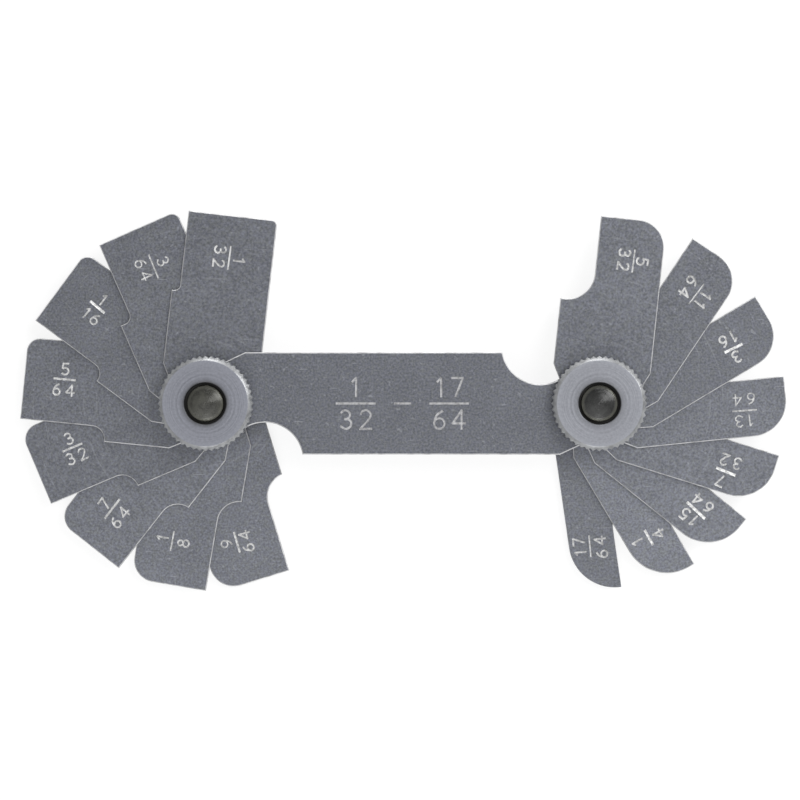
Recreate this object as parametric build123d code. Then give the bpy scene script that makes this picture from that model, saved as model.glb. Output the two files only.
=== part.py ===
from build123d import *
from math import asin, cos, degrees, hypot, pi, radians, sin, sqrt
import os

# A two-ended radius gauge. Sixteen thin steel leaves fan out from two pivots between the two
# plates of a handle, and a knurled nut on each pivot clamps its fan. Sizes are millimetres.
# The gauge lies on its back: X runs along the handle, +Z is the marked side, and the origin is
# midway between the pivots on the outer face of the back plate.

# Leaves. The first number pair is the gauge radius in inches. Then come the direction that the
# leaf points in, in degrees from +X, its reach as a share of leaf_reach, and the depth of its
# hollow corner as a share of the gauge radius. The first leaf of a fan lies on top.
left_leaves = [
    (1, 32, 83.4, 1.009, 1.45),
    (3, 64, 113.7, 1.007, 1.55),
    (1, 16, 143.5, 1.007, 1.134),
    (5, 64, 174.4, 0.996, 1.083),
    (3, 32, 202.9, 0.989, 1.05),
    (7, 64, 231.9, 0.995, 0.936),
    (1, 8, 260.4, 0.996, 0.945),
    (9, 64, 287.2, 0.984, 0.882),
]
right_leaves = [
    (5, 32, 83.9, 0.993, 1.159),
    (11, 64, 56.3, 1.009, 1.191),
    (3, 16, 31.0, 1.011, 1.155),
    (13, 64, 5.8, 1.0, 1.134),
    (7, 32, -17.3, 1.007, 1.161),
    (15, 64, -38.7, 1.007, 1.117),
    (1, 4, -59.2, 1.004, 1.087),
    (17, 64, -81.8, 0.993, 1.097),
]
inch = 25.4
leaf_reach = 27.4             # from a pivot to the tip edge of a leaf
leaf_width = 14.2
leaf_thickness = 0.5
left_hollow_end = 16.7        # along a left leaf, where its hollow arc runs out
right_hollow_end = 18.65      # the same on a right leaf
leaf_corner = 5.1             # along a leaf, where its sides start to draw in
leaf_taper = 27.0             # degrees between those drawn-in sides and the leaf
hub_wall = 3.55               # steel round the pivot bore
layer_gap = 0.04              # free play between neighbours in the stack

# Handle plates
cover_margin = 0.35           # how far a plate covers the side of a folded leaf
plate_thickness = 1.0
plate_corner = 5.6            # from a pivot to where the plate's side draws in
plate_taper = 25.0
plate_hub_cover = 0.1         # how far a plate's rounded end covers the hubs
notch_radius = 5.57           # finger notch, one at each end on opposite sides
notch_rise = 0.9              # the notch's centre lies this far outside the plate's edge
swing_gap = 0.8               # between the circles that the two fans sweep

# Pivot studs
stud_radius = 2.6
running_clearance = 0.06      # between a stud and what turns on it, on the radius
stud_head_radius = 3.7
stud_head_land = 0.1          # plate left under the countersunk head
seat_clearance = 0.02
dome_height = 0.5
dome_edge = 0.08              # bevel round the domed end
dome_recess = 0.1             # the dome stops this far below the nut's face
centre_mark_radius = 0.18
centre_mark_depth = 0.1

# Clamp nuts
nut_radius = 6.9
nut_height = 3.0
knurl_teeth = 48
knurl_depth = 0.32
rim_bevel = 0.7
foot_bevel = 0.2
counterbore_gap = 0.45        # ring of air round the domed stud end
counterbore_depth = 1.2
mouth_bevel = 0.12

# Sizes that follow
bore_radius = stud_radius + running_clearance
hub_radius = bore_radius + hub_wall
plate_hub_radius = hub_radius + plate_hub_cover
plate_width = leaf_width + 2 * cover_margin
leaf_pitch = leaf_thickness + layer_gap
leaf_count = max(len(left_leaves), len(right_leaves))
slot_height = leaf_count * leaf_pitch + layer_gap
front_plate_z = plate_thickness + slot_height
nut_z = front_plate_z + plate_thickness + layer_gap
nut_top = nut_z + nut_height


def leaf_sizes(leaf):
    """Gauge radius, reach and hollow depth of a leaf."""
    over, under, turn, reach_share, hollow_share = leaf
    radius = inch * over / under
    return radius, leaf_reach * reach_share, radius * hollow_share


def swing_radius(leaf):
    """Farthest reach of a leaf from its pivot, over both corners of its tip."""
    radius, reach, hollow = leaf_sizes(leaf)
    rounded = hypot(reach - radius, leaf_width / 2 - radius) + radius
    sharp = hypot(reach, leaf_width / 2 - hollow)
    return max(rounded, sharp)


left_swing = max(swing_radius(leaf) for leaf in left_leaves)
right_swing = max(swing_radius(leaf) for leaf in right_leaves)
pivot_spacing = left_swing + right_swing + swing_gap
left_pivot_x = -pivot_spacing / 2
right_pivot_x = pivot_spacing / 2


def taper_end(corner, half_width, taper, radius):
    """Where a side that draws in from its corner meets the round end, as (x, y)."""
    along = corner * cos(radians(taper)) + half_width * sin(radians(taper))
    run = along - sqrt(along**2 - corner**2 - half_width**2 + radius**2)
    return corner - run * cos(radians(taper)), half_width - run * sin(radians(taper))


def arc_swing(radius, room):
    """Degrees of a corner arc: a quarter turn, or less where its edge is too short for one."""
    return 90 - degrees(asin(max(0.0, radius - room) / radius))


def leaf_face(radius, reach, hollow, hollow_end):
    """A leaf's outline, pointing along +X from its pivot, with its hollow side towards +Y."""
    half = leaf_width / 2
    head_side = half - hollow
    hub_x, hub_y = taper_end(leaf_corner, half, leaf_taper, hub_radius)
    round_swing = arc_swing(radius, leaf_width - hollow)
    hollow_swing = arc_swing(radius, hollow)
    with BuildSketch() as face:
        with BuildLine():
            rounded = CenterArc((reach - radius, radius - half), radius, 270, round_swing)
            hollowed = CenterArc((hollow_end, head_side + radius), radius, 270, -hollow_swing)
            shoulder = Vector((hollowed @ 1).X, half)
            if hollow > radius:
                Line(hollowed @ 1, shoulder)
            Polyline(rounded @ 1, ((rounded @ 1).X, head_side), hollowed @ 0)
            Polyline(shoulder, (leaf_corner, half), (hub_x, hub_y))
            ThreePointArc((hub_x, hub_y), (-hub_radius, 0), (hub_x, -hub_y))
            Polyline((hub_x, -hub_y), (leaf_corner, -half), rounded @ 0)
        make_face()
        Circle(bore_radius, mode=Mode.SUBTRACT)
    return face.sketch


def plate_face(left_hole, right_hole):
    """A handle plate's outline, the same after half a turn, with a hole at each pivot."""
    half = plate_width / 2
    notch_y = half + notch_rise
    reach = notch_radius + plate_hub_radius
    notch_x = right_pivot_x - sqrt(reach**2 - notch_y**2)
    edge_x = notch_x - sqrt(notch_radius**2 - notch_rise**2)
    notch_centre = Vector(notch_x, notch_y)
    pivot = Vector(right_pivot_x, 0)
    meet = pivot + (notch_centre - pivot) * (plate_hub_radius / reach)
    floor = notch_centre - Vector(0, notch_radius)
    hub_x, hub_y = taper_end(plate_corner, half, plate_taper, plate_hub_radius)
    taper_meet = Vector(right_pivot_x - hub_x, -hub_y)
    taper_start = Vector(right_pivot_x - plate_corner, -half)
    with BuildSketch() as face:
        with BuildLine():
            for turn in (0, 180):
                spin = Rot(0, 0, turn)
                points = [edge_x, half], floor, meet, taper_meet, taper_start, [-edge_x, -half]
                edge, low, joint, back, corner, far = [spin * Pos(Vector(*p)) for p in points]
                tip = spin * Pos(right_pivot_x + plate_hub_radius, 0)
                ThreePointArc(edge.position, low.position, joint.position)
                ThreePointArc(joint.position, tip.position, back.position)
                Polyline(back.position, corner.position, far.position)
        make_face()
        with Locations((left_pivot_x, 0)):
            Circle(left_hole, mode=Mode.SUBTRACT)
        with Locations((right_pivot_x, 0)):
            Circle(right_hole, mode=Mode.SUBTRACT)
    return face.sketch


def front_plate():
    return Pos(0, 0, front_plate_z) * extrude(plate_face(bore_radius, bore_radius), plate_thickness)


def back_plate():
    shank_hole = stud_radius + seat_clearance
    head_height = plate_thickness - stud_head_land
    plate = extrude(plate_face(shank_hole, shank_hole), plate_thickness)
    for x in (left_pivot_x, right_pivot_x):
        sink = Cone(stud_head_radius + seat_clearance, shank_hole, head_height)
        plate -= Pos(x, 0, head_height / 2) * sink
    return plate


def pivot_stud(x):
    """Turned stud: a flush countersunk head, a plain shank and a domed end with a centre mark."""
    top = nut_top - dome_recess
    shoulder = top - dome_height
    crown_radius = stud_radius - dome_edge
    sphere = (crown_radius**2 + dome_height**2) / (2 * dome_height)
    mark_z = top - sphere + sqrt(sphere**2 - centre_mark_radius**2)
    middle = (crown_radius + centre_mark_radius) / 2
    middle_z = top - sphere + sqrt(sphere**2 - middle**2)
    with BuildSketch(Plane.XZ) as section:
        with BuildLine():
            Polyline(
                (0, mark_z - centre_mark_depth),
                (0, 0),
                (stud_head_radius, 0),
                (stud_radius, plate_thickness - stud_head_land),
                (stud_radius, shoulder - dome_edge),
                (crown_radius, shoulder),
            )
            ThreePointArc((crown_radius, shoulder), (middle, middle_z), (centre_mark_radius, mark_z))
            Line((centre_mark_radius, mark_z), (0, mark_z - centre_mark_depth))
        make_face()
    return Pos(x, 0, 0) * revolve(section.sketch, Axis.Z)


def clamp_nut(x):
    """Round nut with a straight knurl, bevelled at its rim and foot, counterbored for the dome."""
    points = []
    for step in range(2 * knurl_teeth):
        radius = nut_radius if step % 2 == 0 else nut_radius - knurl_depth
        turn = pi * step / knurl_teeth
        points.append((radius * cos(turn), radius * sin(turn)))
    knurled = extrude(make_face(Polyline(*points, close=True)), nut_height)
    bore = bore_radius
    wide = stud_radius + counterbore_gap
    floor = nut_height - counterbore_depth
    turned = Polyline(
        (bore, 0),
        (nut_radius - foot_bevel, 0),
        (nut_radius, foot_bevel),
        (nut_radius, nut_height - rim_bevel),
        (nut_radius - rim_bevel, nut_height),
        (wide + mouth_bevel, nut_height),
        (wide, nut_height - mouth_bevel),
        (wide, floor),
        (bore, floor),
        close=True,
    )
    blank = revolve(make_face(Plane.XZ * turned), Axis.Z)
    return Pos(x, 0, nut_z) * (knurled & blank)


def leaf_nodes(leaves, pivot_x, hollow_end):
    """Each leaf of one fan, as a name and a solid turned to where it points."""
    for layer, leaf in enumerate(leaves, start=1):
        over, under, turn = leaf[:3]
        blank = extrude(leaf_face(*leaf_sizes(leaf), hollow_end), leaf_thickness)
        place = Pos(pivot_x, 0, front_plate_z - layer * leaf_pitch) * Rot(0, 0, turn)
        yield f"leaf_{over}_{under}", place * blank


nodes = {
    "front_plate": front_plate(),
    "back_plate": back_plate(),
    "left_stud": pivot_stud(left_pivot_x),
    "right_stud": pivot_stud(right_pivot_x),
    "left_nut": clamp_nut(left_pivot_x),
    "right_nut": clamp_nut(right_pivot_x),
}
nodes.update(leaf_nodes(left_leaves, left_pivot_x, left_hollow_end))
nodes.update(leaf_nodes(right_leaves, right_pivot_x, right_hollow_end))

os.makedirs("parts", exist_ok=True)
for name, solid in nodes.items():
    export_step(solid, f"parts/{name}.step")
print(f"{len(nodes)} nodes, pivots {pivot_spacing:.3f} mm apart, top at {nut_top:.3f} mm")
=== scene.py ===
import math
import random

import bmesh
import bpy
from mathutils import Matrix, Vector


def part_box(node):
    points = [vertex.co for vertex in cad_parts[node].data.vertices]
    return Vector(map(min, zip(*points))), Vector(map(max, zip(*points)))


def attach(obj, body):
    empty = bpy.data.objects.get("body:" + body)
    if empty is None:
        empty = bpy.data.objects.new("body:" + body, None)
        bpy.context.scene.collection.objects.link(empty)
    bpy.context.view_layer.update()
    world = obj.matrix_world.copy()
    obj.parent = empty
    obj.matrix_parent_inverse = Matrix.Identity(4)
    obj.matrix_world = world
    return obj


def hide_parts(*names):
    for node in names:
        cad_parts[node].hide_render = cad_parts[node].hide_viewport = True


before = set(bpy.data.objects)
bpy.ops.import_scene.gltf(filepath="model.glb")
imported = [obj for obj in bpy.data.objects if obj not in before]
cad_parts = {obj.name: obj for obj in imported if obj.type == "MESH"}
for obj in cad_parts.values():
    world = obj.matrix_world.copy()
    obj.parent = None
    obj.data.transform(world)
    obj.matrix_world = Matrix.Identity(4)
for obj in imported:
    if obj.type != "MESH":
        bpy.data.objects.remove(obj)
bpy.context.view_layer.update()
perMetre = 1000      # mm, in which the bench works
print("frame loaded:", len(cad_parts), "nodes")


# finishes
class Wire:
    # an output socket, so that shader maths reads as plain maths
    def __init__(self, recipe, socket):
        self.recipe = recipe
        self.socket = socket

    def __add__(self, other):
        return self.recipe.maths("ADD", self, other)

    def __sub__(self, other):
        return self.recipe.maths("SUBTRACT", self, other)

    def __rsub__(self, other):
        return self.recipe.maths("SUBTRACT", other, self)

    def __mul__(self, other):
        return self.recipe.maths("MULTIPLY", self, other)

    __radd__ = __add__
    __rmul__ = __mul__


class Recipe:
    # the nodes of one material, or of the world
    def __init__(self, owner):
        owner.use_nodes = True
        self.owner = owner
        self.tree = owner.node_tree

    def node(self, kind, settings, sockets, output=0):
        made = self.tree.nodes.new("ShaderNode" + kind)
        for name, value in settings.items():
            if name == "stops":
                ramp = made.color_ramp
                for stop, (place, level) in zip(ramp.elements, value):
                    stop.position = place
                    stop.color = (level, level, level, 1)
            else:
                setattr(made, name, value)
        for name, value in sockets.items():
            self.feed(made.inputs[name], value)
        return Wire(self, made.outputs[output])

    def feed(self, socket, value):
        if isinstance(value, Wire):
            self.tree.links.new(value.socket, socket)
        else:
            socket.default_value = value

    def maths(self, operation, first, second):
        return self.node("Math", {"operation": operation}, {0: first, 1: second})

    def mix(self, amount, first, second):
        return self.node("Mix", {"data_type": "RGBA"}, {0: amount, 6: first, 7: second}, 2)

    def noise(self, place, scale, detail=2.0, rough=0.5):
        sockets = {"Vector": place, "Scale": scale, "Detail": detail, "Roughness": rough}
        return self.node("TexNoise", {}, sockets)

    def mapped(self, place, **sockets):
        return self.node("Mapping", {}, {"Vector": place, **sockets})

    def ramp(self, factor, low, high):
        return self.node("ValToRGB", {"stops": ((low, 0.0), (high, 1.0))}, {0: factor})

    def bump(self, height, strength, distance):
        return self.node("Bump", {}, {"Height": height, "Strength": strength, "Distance": distance})

    def fromAxis(self, place, centreX):
        # distance from the upright axis at centreX, in metres
        flat = self.mapped(place, Location=(-centreX, 0, 0), Scale=(1, 1, 0))
        return self.node("VectorMath", {"operation": "LENGTH"}, {0: flat}, 1)

    def rings(self, radius, scale, detail=2.0):
        # lines round an axis, uneven from one to the next
        sockets = {"W": radius, "Scale": scale, "Detail": detail}
        return self.node("TexNoise", {"noise_dimensions": "1D"}, sockets)


def newMaterial(name, **sockets):
    material = bpy.data.materials.new(name)
    recipe = Recipe(material)
    shader = recipe.tree.nodes["Principled BSDF"]
    for socket, value in sockets.items():
        shader.inputs[socket.replace("_", " ")].default_value = value
    return recipe, shader


steelLook = {         # scales are per metre, and a range is where a mark begins and where it is full
    "grain": 3300, "grainRough": 0.6, "grainTone": 2.6, "grainDepth": 0.00002, "grainBump": 0.3,
    "cloud": 230, "cloudTone": 0.5, "tint": 2200, "tintRange": (0.42, 0.62), "tintShare": 0.45,
    "fleck": 1500, "fleckRange": (0.68, 0.77), "fleckMark": 0.28,
    "scratch": 260, "scratchRange": (0.78, 0.80), "scratchMark": 0.4, "scratchStretch": 14,
    "scuff": 1500, "scuffRange": (0.66, 0.70), "scuffMark": 0.16,
    "patch": 190, "patchRange": (0.52, 0.62), "markTone": (0.42, 0.43, 0.46, 1),
    "roughness": 0.42, "unevenness": 0.2, "metallic": 0.55,
}


def groundSteel(name, tones, share, scratches, centreX=None):
    # satin ground steel: mottled grain, faint clouds, nicks, hair scratches and swing scuffs
    look = steelLook
    dark, light = [tuple(share * part for part in tone) for tone in tones]
    recipe, shader = newMaterial(name, Metallic=look["metallic"])
    place = recipe.node("TexCoord", {}, {}, "Object")
    grain = recipe.noise(place, look["grain"], rough=look["grainRough"])
    tint = recipe.ramp(recipe.noise(place, look["tint"]), *look["tintRange"])
    cloud = recipe.noise(place, look["cloud"], 3.0)
    fleck = recipe.ramp(recipe.noise(place, look["fleck"], 1.0), *look["fleckRange"])
    tone = 0.5 + (grain - 0.5) * look["grainTone"] + (cloud - 0.5) * look["cloudTone"]
    marks = fleck * look["fleckMark"]
    for turn in scratches:
        stretch = (1, look["scratchStretch"], 1)
        laid = recipe.mapped(place, Rotation=(0, 0, math.radians(turn)), Scale=stretch)
        hair = recipe.ramp(recipe.noise(laid, look["scratch"], 1.0), *look["scratchRange"])
        marks = marks + hair * look["scratchMark"]
    if centreX is not None:
        arcs = recipe.rings(recipe.fromAxis(place, centreX), look["scuff"])
        patches = recipe.ramp(recipe.noise(place, look["patch"]), *look["patchRange"])
        marks = marks + recipe.ramp(arcs, *look["scuffRange"]) * patches * look["scuffMark"]
    base = recipe.mix(tone, (*dark, 1), (*light, 1))
    warm = recipe.mix(tone, (*dark[:2], dark[0], 1), (*light[:2], light[0], 1))
    base = recipe.mix(tint * look["tintShare"], base, warm)
    recipe.feed(shader.inputs["Base Color"], recipe.mix(marks, base, look["markTone"]))
    recipe.feed(shader.inputs["Roughness"], look["roughness"] + (grain - 0.5) * look["unevenness"])
    relief = recipe.bump(grain - marks, look["grainBump"], look["grainDepth"])
    recipe.feed(shader.inputs["Normal"], relief)
    return recipe.owner


edgeLook = {"wear": 900, "wearRange": (0.3, 0.55), "dull": 0.62, "unevenness": 0.2}


def rubbedEdgeAndSheen(name, colour, roughness, metallic):
    # broken edges, paler than the faces: partly steel rubbed bright, partly a painted highlight where
    # edges catch the light
    recipe, shader = newMaterial(name, Metallic=metallic)
    place = recipe.node("TexCoord", {}, {}, "Object")
    wear = recipe.noise(place, edgeLook["wear"], 3.0)
    dull = tuple(edgeLook["dull"] * part for part in colour)
    base = recipe.mix(recipe.ramp(wear, *edgeLook["wearRange"]), (*dull, 1), (*colour, 1))
    recipe.feed(shader.inputs["Base Color"], base)
    recipe.feed(shader.inputs["Roughness"], roughness + (wear - 0.5) * edgeLook["unevenness"])
    return recipe.owner


whiteLook = {
    "uneven": 2000, "unevenRough": 0.6, "wornRange": (0.34, 0.58), "worn": 0.5, "roughness": 0.62,
}


def stampedWhite(name, colour):
    # the pale floor of a stamped number, worn thin in places
    recipe, shader = newMaterial(name, Roughness=whiteLook["roughness"])
    place = recipe.node("TexCoord", {}, {}, "Object")
    uneven = recipe.noise(place, whiteLook["uneven"], 3.0, whiteLook["unevenRough"])
    worn = tuple(whiteLook["worn"] * part for part in colour)
    base = recipe.mix(recipe.ramp(uneven, *whiteLook["wornRange"]), (*worn, 1), (*colour, 1))
    recipe.feed(shader.inputs["Base Color"], base)
    return recipe.owner


faceLook = {          # scales are per metre, and shares are of the radius of the face
    "rings": 3400, "ringTone": 0.7, "ringBump": 1.0, "ringDepth": 0.00003, "bands": 1000,
    "grain": 3000, "grainTone": 1.4, "contrast": 0.16, "middle": 0.74, "paler": 1.6,
    "darkPatch": 500, "darkLeast": 0.5, "darkRange": (0.49, 0.58), "nearPocketDark": (0.03, 0.03, 0.026, 1),
    "roughness": 0.42, "unevenness": 0.15, "metallic": 0.55,
}


def turnedFace(name, centreX, radius, tone, banding, pocketDarkening):
    # face turned on a lathe: fine rings and broader bands round the stud, a little paler outwards,
    # and darker in patches round the pocket
    look = faceLook
    recipe, shader = newMaterial(name, Metallic=look["metallic"])
    place = recipe.node("TexCoord", {}, {}, "Object")
    fromStud = recipe.fromAxis(place, centreX)
    share = fromStud * (1 / radius)
    rings = recipe.rings(fromStud, look["rings"])
    bands = recipe.rings(fromStud, look["bands"])
    grain = recipe.noise(place, look["grain"])
    level = 0.5 + (rings - 0.5) * look["ringTone"] + (bands - 0.5) * banding
    level = level + (grain - 0.5) * look["grainTone"] + (share - look["middle"]) * look["paler"]
    dark = tuple((1 - look["contrast"]) * part for part in tone)
    light = tuple((1 + look["contrast"]) * part for part in tone)
    clean = recipe.mix(level, (*dark, 1), (*light, 1))
    patches = look["darkLeast"] + recipe.noise(place, look["darkPatch"], 3.0)
    nearPocketDark = (1 - recipe.ramp(share, *look["darkRange"])) * patches * pocketDarkening
    recipe.feed(shader.inputs["Base Color"], recipe.mix(nearPocketDark, clean, look["nearPocketDark"]))
    recipe.feed(shader.inputs["Roughness"], look["roughness"] + (rings - 0.5) * look["unevenness"])
    recipe.feed(shader.inputs["Normal"], recipe.bump(rings, look["ringBump"], look["ringDepth"]))
    return recipe.owner


blackLook = {         # scales are per metre, and shares are of the radius of the crown
    "patch": 420, "patchRough": 0.6, "grain": 5000, "grainTone": 0.3, "toneRange": (0.35, 0.68),
    "grainBump": 0.25, "grainDepth": 0.00001, "shine": 0.5, "metallic": 0.35, "unevenness": 0.2,
    "rings": 16000, "ringBump": 1.0, "ringDepth": 0.000018, "crownShine": 0.85,
    # the rim entries are a painted highlight round the edge of a crown
    "crownLightRange": (0.80, 0.97), "crownLightLeast": 0.35, "rim": (0.17, 0.17, 0.145, 1),
}


def blackened(name, colour, sheen, roughness, centreX=None, crown=None):
    # oiled black oxide with an olive cast and rubbed patches. A crown is turned, and its rim is painted
    # paler: a painted highlight against the shade that the pocket wall casts on it
    look = blackLook
    shine = look["shine"] if crown is None else look["crownShine"]
    recipe, shader = newMaterial(name, Metallic=look["metallic"], Specular_IOR_Level=shine)
    place = recipe.node("TexCoord", {}, {}, "Object")
    patch = recipe.noise(place, look["patch"], 4.0, look["patchRough"])
    grain = recipe.noise(place, look["grain"])
    tone = recipe.ramp(patch + (grain - 0.5) * look["grainTone"], *look["toneRange"])
    base = recipe.mix(tone, (*colour, 1), (*sheen, 1))
    if crown is None:
        relief = recipe.bump(grain, look["grainBump"], look["grainDepth"])
    else:
        fromStud = recipe.fromAxis(place, centreX)
        # painted highlight: a paler ring at the crown's edge, in patches
        rim = recipe.ramp(fromStud * (1 / crown), *look["crownLightRange"])
        base = recipe.mix(rim * (look["crownLightLeast"] + patch), base, look["rim"])
        rings = recipe.rings(fromStud, look["rings"], 1.0)
        relief = recipe.bump(rings, look["ringBump"], look["ringDepth"])
    recipe.feed(shader.inputs["Base Color"], base)
    recipe.feed(shader.inputs["Roughness"], roughness + (patch - 0.5) * look["unevenness"])
    recipe.feed(shader.inputs["Normal"], relief)
    return recipe.owner


steelTones = {        # dark and light of the mottle
    "leaf": ((0.103, 0.108, 0.127), (0.206, 0.216, 0.254)),
    "plate": ((0.095, 0.100, 0.120), (0.190, 0.199, 0.234)),
}
nutLow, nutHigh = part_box("right_nut")
pivotX = (nutLow.x + nutHigh.x) / 2 * perMetre      # mm, from the middle to a pivot

plateSteel = groundSteel("plateSteel", steelTones["plate"], 1.0, (64, 151))
# the bevelled edges of leaves and plates: their pale colour is partly a painted highlight
edgeSteel = rubbedEdgeAndSheen("edgeSteel", (0.66, 0.66, 0.67), 0.42, 0.4)
numberWhite = stampedWhite("numberWhite", (0.68, 0.68, 0.68))
brightWhite = stampedWhite("brightWhite", (0.92, 0.92, 0.92))
rangeWhite = stampedWhite("rangeWhite", (0.50, 0.50, 0.51))
# the chamfer and knurl of the nuts: paler than the face, a painted highlight
rimPaintedSheen = rubbedEdgeAndSheen("rimPaintedSheen", (0.380, 0.388, 0.398), 0.36, 0.5)
# painted shade: near black on the walls and floor of a nut's pocket, for the shadow deep inside it
pocketPaintedShade = blackened("pocketPaintedShade", (0.006, 0.006, 0.006), (0.016, 0.016, 0.014), 0.6)
print("finishes made")


# bench work: copies of the CAD nodes, worked in millimetres
bench = {             # mm, degrees, and how upright the normal of a level or ground face is
    "merge": 0.0005, "flat": 0.3, "smooth": 28, "sharp": 40, "level": 0.99, "ground": 0.9999,
}
edgeFinish, sameFinish = 1, -1      # a bevel takes the second finish of its piece, or its neighbours'


def selectOnly(piece):
    bpy.ops.object.select_all(action="DESELECT")
    piece.select_set(True)
    bpy.context.view_layer.objects.active = piece


def applyPlace(piece):
    selectOnly(piece)
    bpy.ops.object.transform_apply(location=True, rotation=True, scale=True)


def benchCopy(node, materials):
    # a merged copy of a CAD node, with its flat faces whole again
    piece = bpy.data.objects.new(node + "_finished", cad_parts[node].data.copy())
    bpy.context.scene.collection.objects.link(piece)
    piece.scale = (perMetre,) * 3
    applyPlace(piece)
    if piece.data.has_custom_normals:
        bpy.ops.mesh.customdata_custom_splitnormals_clear()
    piece.data.materials.clear()
    for material in materials:
        piece.data.materials.append(material)
    bpy.ops.object.mode_set(mode="EDIT")
    bpy.ops.mesh.select_all(action="SELECT")
    bpy.ops.mesh.remove_doubles(threshold=bench["merge"])
    bpy.ops.mesh.dissolve_limited(angle_limit=math.radians(bench["flat"]))
    bpy.ops.object.mode_set(mode="OBJECT")
    return piece


def breakEdges(piece, width, sharperThan, material, wanted=lambda edge: True):
    # bevels every edge that turns by more than sharperThan degrees
    selectOnly(piece)
    bpy.ops.object.mode_set(mode="EDIT")
    bpy.ops.mesh.select_mode(type="EDGE")
    bpy.ops.mesh.select_all(action="DESELECT")
    shape = bmesh.from_edit_mesh(piece.data)
    for edge in shape.edges:
        if edge.is_manifold and edge.calc_face_angle() > math.radians(sharperThan) and wanted(edge):
            edge.select_set(True)
    bmesh.update_edit_mesh(piece.data)
    bpy.ops.mesh.bevel(offset=width, material=material, loop_slide=False, clamp_overlap=True)
    bpy.ops.object.mode_set(mode="OBJECT")


def flatRim(edge):
    return any(abs(face.normal.z) > bench["level"] for face in edge.link_faces)


holeRoom = 5      # mm round a pivot


def outerRim(edge):
    # the rim of a plate, without its pivot holes
    centres = (Vector((-pivotX, 0)), Vector((pivotX, 0)))
    far = [(corner.co.xy - centre).length > holeRoom for corner in edge.verts for centre in centres]
    return flatRim(edge) and all(far)


def handIn(piece, node, body):
    # back to metres, and into the place of its CAD node
    selectOnly(piece)
    bpy.ops.object.shade_smooth_by_angle(angle=math.radians(bench["smooth"]))
    for polygon in piece.data.polygons:
        if abs(polygon.normal.z) > bench["ground"]:
            polygon.use_smooth = False      # the ground faces are flat right up to a struck number
    piece.scale = (1 / perMetre,) * 3
    applyPlace(piece)
    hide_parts(node)
    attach(piece, body)


# stamped numbers
numberStamp = {       # mm, and degrees for the wobble: each digit is struck by hand, a little askew
    "tall": 1.62, "wide": 1.08, "stroke": 0.30, "barStroke": 0.34, "depth": 0.08,
    "step": 2.0, "close": 1.52, "wobble": 2.5, "stray": 0.03,
}
digitStrokes = {      # in a cell one high: straight, round or closed strokes
    "1": [("straight", (-0.19, 0.29), (0.02, 0.5), (0.02, -0.5))],
    "2": [
        ("round", (-0.28, 0.26), (-0.14, 0.46), (0.12, 0.47), (0.27, 0.27), (0.16, 0.0), (-0.3, -0.5)),
        ("straight", (-0.32, -0.5), (0.31, -0.5)),
    ],
    "3": [
        ("round", (-0.27, 0.34), (-0.04, 0.5), (0.23, 0.32), (0.14, 0.08), (-0.08, 0.03)),
        ("round", (-0.08, 0.03), (0.2, -0.02), (0.3, -0.24), (0.04, -0.5), (-0.3, -0.34)),
    ],
    "4": [
        ("straight", (0.14, -0.5), (0.14, 0.5), (-0.34, -0.2)),
        ("straight", (-0.36, -0.2), (0.34, -0.2)),
    ],
    "5": [
        ("straight", (0.26, 0.5), (-0.17, 0.5), (-0.23, 0.06)),
        ("round", (-0.24, 0.05), (0.04, 0.13), (0.28, -0.1), (0.2, -0.4), (-0.04, -0.5), (-0.29, -0.36)),
    ],
    "6": [
        ("closed", (0.28, -0.2), (0.0, 0.08), (-0.28, -0.2), (0.0, -0.5)),
        ("round", (0.2, 0.48), (-0.12, 0.26), (-0.28, -0.18)),
    ],
    "7": [("straight", (-0.28, 0.5), (0.3, 0.5), (-0.1, -0.5))],
    "8": [
        ("closed", (0.22, 0.27), (0.0, 0.5), (-0.22, 0.27), (0.0, 0.04)),
        ("closed", (0.28, -0.23), (0.0, 0.04), (-0.28, -0.23), (0.0, -0.5)),
    ],
}
digitStrokes["9"] = [(kind, *((-x, -y) for x, y in points)) for kind, *points in digitStrokes["6"]]
strike = random.Random(11)
punch = {             # shares: how much deeper a blow goes, and how far a leg runs past its corner
    "least": 0.1, "most": 0.3, "past": 0.3,
}


def strokePunch(kind, points, stamp):
    # a round-nosed stroke along its points: a closed tube, flattened to the depth of the mark
    curve = bpy.data.curves.new("stroke", "CURVE")
    curve.dimensions = "3D"
    curve.resolution_u = 1 if kind == "straight" else 4
    curve.bevel_depth = stamp["stroke"] / 2
    curve.bevel_resolution = 1
    curve.use_fill_caps = True
    line = curve.splines.new("BEZIER")
    line.bezier_points.add(len(points) - 1)
    line.use_cyclic_u = kind == "closed"
    for knot, (x, y) in zip(line.bezier_points, points):
        knot.co = (x, y, 0)
        knot.handle_left_type = knot.handle_right_type = "VECTOR" if kind == "straight" else "AUTO"
    stroke = bpy.data.objects.new("stroke", curve)
    bpy.context.scene.collection.objects.link(stroke)
    selectOnly(stroke)
    bpy.ops.object.convert(target="MESH")
    stroke = bpy.context.object
    stroke.scale.z = 2 * stamp["depth"] / stamp["stroke"]
    blow = strike.uniform(punch["least"], punch["most"])      # no two go equally deep
    stroke.location.z = -blow * stamp["depth"]
    applyPlace(stroke)
    bpy.ops.object.mode_set(mode="EDIT")
    bpy.ops.mesh.select_all(action="SELECT")
    bpy.ops.mesh.remove_doubles(threshold=bench["merge"])
    bpy.ops.mesh.normals_make_consistent(inside=False)
    bpy.ops.object.mode_set(mode="OBJECT")
    return stroke


def barPunch(length, stamp):
    stamp = {**stamp, "stroke": stamp["barStroke"]}
    return strokePunch("straight", ((-length / 2, 0), (length / 2, 0)), stamp)


def straightLegs(points, stamp):
    # each leg of a cornered stroke by itself, a little longer so that the corners are full
    for first, last in zip(points, points[1:]):
        first, last = Vector(first), Vector(last)
        past = (last - first).normalized() * stamp["stroke"] * punch["past"]
        yield first - past, last + past


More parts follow.
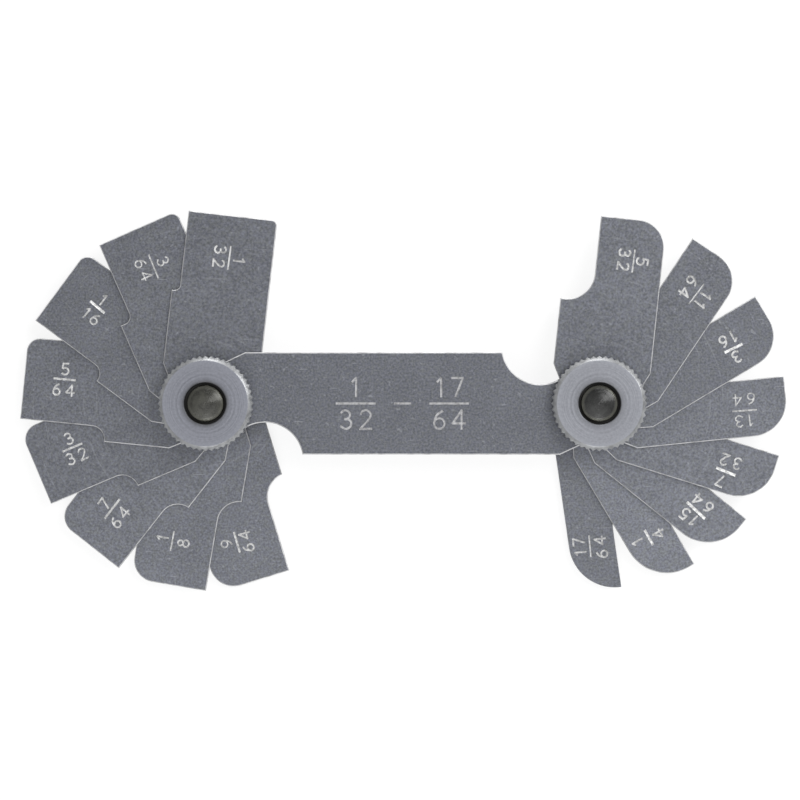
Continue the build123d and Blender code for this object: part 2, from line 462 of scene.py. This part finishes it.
def digitRow(text, x, y, tilt, stamp):
    # the strokes of a row of digits, centred on its place
    strokes = []
    step = stamp["close"] if "1" in text else stamp["step"]
    for i, digit in enumerate(text):
        middle = x + (i - (len(text) - 1) / 2) * step + strike.uniform(-1, 1) * stamp["stray"]
        level = y + strike.uniform(-1, 1) * stamp["stray"]
        askew = math.radians(tilt + strike.uniform(-1, 1) * stamp["wobble"])
        for kind, *points in digitStrokes[digit]:
            sized = [(along * stamp["tall"] * stamp["wide"], up * stamp["tall"]) for along, up in points]
            for run in straightLegs(sized, stamp) if kind == "straight" else [sized]:
                stroke = strokePunch(kind, run, stamp)
                stroke.location = (middle, level, 0)
                stroke.rotation_euler.z = askew
                applyPlace(stroke)
                strokes.append(stroke)
    return strokes


def fraction(over, under, x, tilt, barLength, rows, stamp):
    # a stacked fraction: its rows are placed from the middle of its bar
    bar = barPunch(barLength, stamp)
    bar.location.x = x
    bar.rotation_euler.z = math.radians(tilt)
    applyPlace(bar)
    strokes = [bar]
    for text, (along, up) in zip((over, under), rows):
        strokes += digitRow(text, x + along, up, tilt, stamp)
    return strokes


def strikeMarks(piece, strokes, place, turn, finish):
    # sinks each stroke into a piece and leaves the pale finish in its groove
    for stroke in strokes:
        stroke.data.materials.append(finish)
        stroke.location = place
        stroke.rotation_euler.z = math.radians(turn)
        applyPlace(stroke)
        selectOnly(piece)
        cut = piece.modifiers.new("cut", "BOOLEAN")
        cut.operation = "DIFFERENCE"
        cut.solver = "MANIFOLD"
        cut.material_mode = "TRANSFER"
        cut.object = stroke
        bpy.ops.object.modifier_apply(modifier=cut.name)
        bpy.data.objects.remove(stroke, do_unlink=True)


# leaves
leafBuild = {         # mm, turns of its two runs of scratches, and a blow that leaves the groove bright
    "edge": 0.13, "scratches": (14, 97), "hard": 1.2,
}
# over, under, direction, tone, then the number: along and across the leaf to its bar, tilt, length of
# the bar, places of its two rows of digits, and how hard the bar and the digits were struck
# tone is how light each leaf is: partly its own finish, partly painted light, as the leaves that point
# down are made lighter
leftLeaves = [
    ("1", "32", 83.4, 0.98, 21.48, -0.76, -1.2, 3.5, ((0.30, 1.46), (-0.04, -1.43)), 0.82, 1.00),
    ("3", "64", 113.7, 0.99, 21.50, -0.80, -1.0, 3.8, ((-0.21, 1.55), (-0.19, -1.52)), 0.82, 0.80),
    ("1", "16", 143.5, 0.98, 21.42, -1.70, -3.5, 2.75, ((0.09, 1.34), (0.00, -1.62)), 1.30, 0.97),
    ("5", "64", 174.4, 1.0, 21.33, -1.46, 0.0, 3.3, ((-0.03, 1.52), (0.00, -1.58)), 1.10, 0.95),
    ("3", "32", 202.9, 1.02, 20.96, -1.82, 0.0, 3.2, ((-0.04, 1.43), (0.04, -1.42)), 0.95, 0.95),
    ("7", "64", 231.9, 1.12, 20.96, -1.64, 0.0, 3.6, ((-0.13, 1.33), (-0.31, -1.66)), 1.10, 1.00),
    ("1", "8", 260.4, 1.10, 20.88, -1.98, -1.0, 3.0, ((0.31, 1.44), (-0.02, -1.66)), 0.76, 1.00),
    ("9", "64", 287.2, 1.12, 20.72, -2.18, -1.0, 3.2, ((0.24, 1.47), (-0.28, -1.38)), 1.05, 0.97),
]
rightLeaves = [
    ("5", "32", 83.9, 1.0, 21.16, -2.90, -1.0, 3.4, ((-0.08, 1.30), (-0.08, -1.40)), 0.70, 1.10),
    ("11", "64", 56.3, 0.92, 21.20, -3.06, -3.5, 3.6, ((0.23, 1.22), (-0.24, -1.57)), 0.62, 1.12),
    ("3", "16", 31.0, 0.94, 21.08, -3.28, -5.0, 2.9, ((0.19, 1.28), (-0.04, -1.55)), 1.35, 1.10),
    ("13", "64", 5.8, 1.03, 21.20, -3.20, -2.0, 3.6, ((0.15, 1.48), (-0.08, -1.64)), 0.82, 0.74),
    ("7", "32", -17.3, 1.05, 20.84, -3.94, -5.0, 3.05, ((0.34, 1.50), (-0.30, -1.62)), 1.30, 1.03),
    ("15", "64", -38.7, 1.11, 21.04, -3.20, -4.5, 3.6, ((0.14, 1.38), (-0.12, -1.44)), 1.40, 1.10),
    ("1", "4", -59.2, 1.21, 20.76, -3.58, -1.5, 2.55, ((0.40, 1.72), (-0.21, -1.50)), 1.30, 1.05),
    ("17", "64", -81.8, 1.02, 20.60, -4.02, -3.0, 3.2, ((0.06, 1.52), (-0.38, -1.55)), 0.74, 0.98),
]


def makeLeaf(centreX, over, under, direction, tone, along, across, tilt, barLength, rows, *force):
    node = "leaf_" + over + "_" + under
    scratches = [direction + turn for turn in leafBuild["scratches"]]
    name = "steel_" + over + "_" + under
    # a tone above one is partly painted light on the leaves that point down
    steel = groundSteel(name, steelTones["leaf"], tone, scratches, centreX / perMetre)
    leaf = benchCopy(node, (steel, edgeSteel, numberWhite, brightWhite))
    breakEdges(leaf, leafBuild["edge"], bench["sharp"], edgeFinish, flatRim)
    spin = Matrix.Rotation(math.radians(direction), 3, "Z")
    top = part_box(node)[1].z * perMetre
    place = Vector((centreX, 0, top)) + spin @ Vector((along, across, 0))
    blows = {name: numberStamp[name] * part for name, part in zip(("barStroke", "stroke"), force)}
    number = fraction(over, under, 0, tilt, barLength, rows, {**numberStamp, **blows})
    barFinish = brightWhite if force[0] > leafBuild["hard"] else numberWhite
    reading = direction + 180      # the row reads from the tip towards the hub
    strikeMarks(leaf, number[:1], place, reading, barFinish)
    strikeMarks(leaf, number[1:], place, reading, numberWhite)
    handIn(leaf, node, node)


for row in leftLeaves:
    makeLeaf(-pivotX, *row)
for row in rightLeaves:
    makeLeaf(pivotX, *row)
print("leaves made:", len(leftLeaves) + len(rightLeaves))


# handle plates
plateBuild = {"edge": 0.16}      # mm
plateStamp = {        # the size range of the gauge
    "tall": 2.7, "wide": 1.0, "stroke": 0.36, "barStroke": 0.36, "depth": 0.08,
    "step": 2.9, "close": 2.4, "wobble": 0.6, "stray": 0.02,
    "spread": 6.8, "bar": 5.8, "dash": 2.5, "rows": ((0, 2.35), (0, -2.35)),
}

frontPlate = benchCopy("front_plate", (plateSteel, edgeSteel, rangeWhite))
breakEdges(frontPlate, plateBuild["edge"], bench["sharp"], edgeFinish, outerRim)
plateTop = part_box("front_plate")[1].z * perMetre
sizeRange = []
for over, under, side in (("1", "32", -1), ("17", "64", 1)):
    middle = side * plateStamp["spread"]
    sizeRange += fraction(over, under, middle, 0, plateStamp["bar"], plateStamp["rows"], plateStamp)
sizeRange.append(barPunch(plateStamp["dash"], plateStamp))
strikeMarks(frontPlate, sizeRange, (0, 0, plateTop), 0, rangeWhite)
handIn(frontPlate, "front_plate", "handle")

backPlate = benchCopy("back_plate", (plateSteel, edgeSteel))
breakEdges(backPlate, plateBuild["edge"], bench["sharp"], edgeFinish, outerRim)
handIn(backPlate, "back_plate", "handle")
print("handle made")


# studs and clamp nuts
studBuild = {"crown": 2.6, "roughness": 0.23}      # mm, radius of the domed end
studTones = {         # dark and light of the patches
    "left": ((0.015, 0.015, 0.012), (0.063, 0.063, 0.052)),
    "right": ((0.004, 0.004, 0.004), (0.024, 0.025, 0.024)),
}
nutBuild = {          # mm and degrees: the face and the pocket are radii
    "edge": 0.05, "sharp": 24, "face": 6.25, "pocket": 3.05, "slack": 0.01, "faceDepth": 0.2,
}
nutFaces = {
    "left": {"tone": (0.234, 0.242, 0.277), "banding": 0.5, "pocketDarkening": 0.60},
    "right": {"tone": (0.266, 0.274, 0.303), "banding": 0.9, "pocketDarkening": 0.28},
}


def makeStud(side, centreX):
    node = side + "_stud"
    crown = (centreX / perMetre, studBuild["crown"] / perMetre)
    black = blackened("studBlack_" + side, *studTones[side], studBuild["roughness"], *crown)
    stud = benchCopy(node, (black,))
    handIn(stud, node, "handle")


def makeNut(side, centreX):
    node = side + "_nut"
    disc = (centreX / perMetre, nutBuild["face"] / perMetre)
    turned = turnedFace("turnedFace_" + side, *disc, **nutFaces[side])
    # the rim takes the painted highlight, the pocket the painted shade
    nut = benchCopy(node, (rimPaintedSheen, turned, pocketPaintedShade))
    breakEdges(nut, nutBuild["edge"], nutBuild["sharp"], sameFinish)
    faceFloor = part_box(node)[1].z * perMetre - nutBuild["faceDepth"]
    rim, face, pocket = range(3)      # the places of its finishes
    for polygon in nut.data.polygons:
        corners = [nut.data.vertices[index].co for index in polygon.vertices]
        widest = max(math.hypot(corner.x - centreX, corner.y) for corner in corners)
        if widest < nutBuild["pocket"] + nutBuild["slack"]:
            polygon.material_index = pocket
        elif min(corner.z for corner in corners) > faceFloor and widest < nutBuild["face"]:
            polygon.material_index = face
        else:
            polygon.material_index = rim
    handIn(nut, node, node)


for side, centreX in (("left", -pivotX), ("right", pivotX)):
    makeStud(side, centreX)
    makeNut(side, centreX)
print("studs and nuts made")


# floor, light and camera
lampLook = [          # name, place, size, watts
    ("keyLamp", (0.34, 0.26, 0.62), 0.36, 1.5),
    ("nearLamp", (0, -0.30, 0.60), 0.80, 1.4),
    ("lowLamp", (0, -0.50, 0.30), 0.30, 0.8),
    ("farLamp", (0, 0.62, 0.20), 0.30, 1.35),
    ("sideLamp", (0.50, 0.30, 0.30), 0.36, 1.5),
]
worldLook = {"sky": 0.32, "glossy": 0.41}
floorLook = {         # metres for its size and how far it lies under the gauge
    "size": 6, "depth": 0.00002, "colour": (0.93, 0.93, 0.93, 1), "roughness": 0.9,
    "lift": 0.75, "white": 1.12,
}
cameraLook = {        # metres, degrees, mm
    "eye": (0.00775, 0.0005, 0.43261), "near": 0.01, "lean": (0, 1.09, 0), "lens": 131.94, "sensor": 36,
}

bpy.ops.object.select_all(action="DESELECT")
bpy.ops.mesh.primitive_plane_add(size=floorLook["size"], location=(0, 0, -floorLook["depth"]))
floor = bpy.context.object
floor.name = "floor"
recipe, shader = newMaterial("paleFloor", Base_Color=floorLook["colour"], Roughness=floorLook["roughness"])
seen = recipe.node("LightPath", {}, {}, "Is Camera Ray")
glow = recipe.node("Emission", {}, {"Strength": floorLook["white"]})
matt = Wire(recipe, shader.outputs[0])
lifted = recipe.node("MixShader", {}, {0: seen * floorLook["lift"], 1: matt, 2: glow})
recipe.feed(recipe.tree.nodes["Material Output"].inputs["Surface"], lifted)
floor.data.materials.append(recipe.owner)

for name, place, size, watts in lampLook:
    lamp = bpy.data.objects.new(name, bpy.data.lights.new(name, "AREA"))
    bpy.context.scene.collection.objects.link(lamp)
    lamp.data.shape = "DISK"
    lamp.data.size = size
    lamp.data.energy = watts
    lamp.location = place
    lamp.rotation_euler = (-Vector(place)).to_track_quat("-Z", "Y").to_euler()

world = bpy.data.worlds.new("studio")
bpy.context.scene.world = world
recipe = Recipe(world)
background = recipe.tree.nodes["Background"]
background.inputs["Color"].default_value = (1, 1, 1, 1)
seen = recipe.node("LightPath", {}, {}, "Is Camera Ray")
mirrored = recipe.node("LightPath", {}, {}, "Is Glossy Ray")
strength = worldLook["sky"] + mirrored * (worldLook["glossy"] - worldLook["sky"])
recipe.feed(background.inputs["Strength"], strength + seen * (1 - worldLook["sky"]))

camera = bpy.data.objects.new("camera", bpy.data.cameras.new("camera"))
bpy.context.scene.collection.objects.link(camera)
camera.data.sensor_width = cameraLook["sensor"]
camera.data.lens = cameraLook["lens"]
camera.data.clip_start = cameraLook["near"]
camera.location = cameraLook["eye"]
camera.rotation_euler = [math.radians(turn) for turn in cameraLook["lean"]]
bpy.context.scene.camera = camera
bpy.context.scene.view_settings.view_transform = "Standard"
print("floor, lamps and camera set")
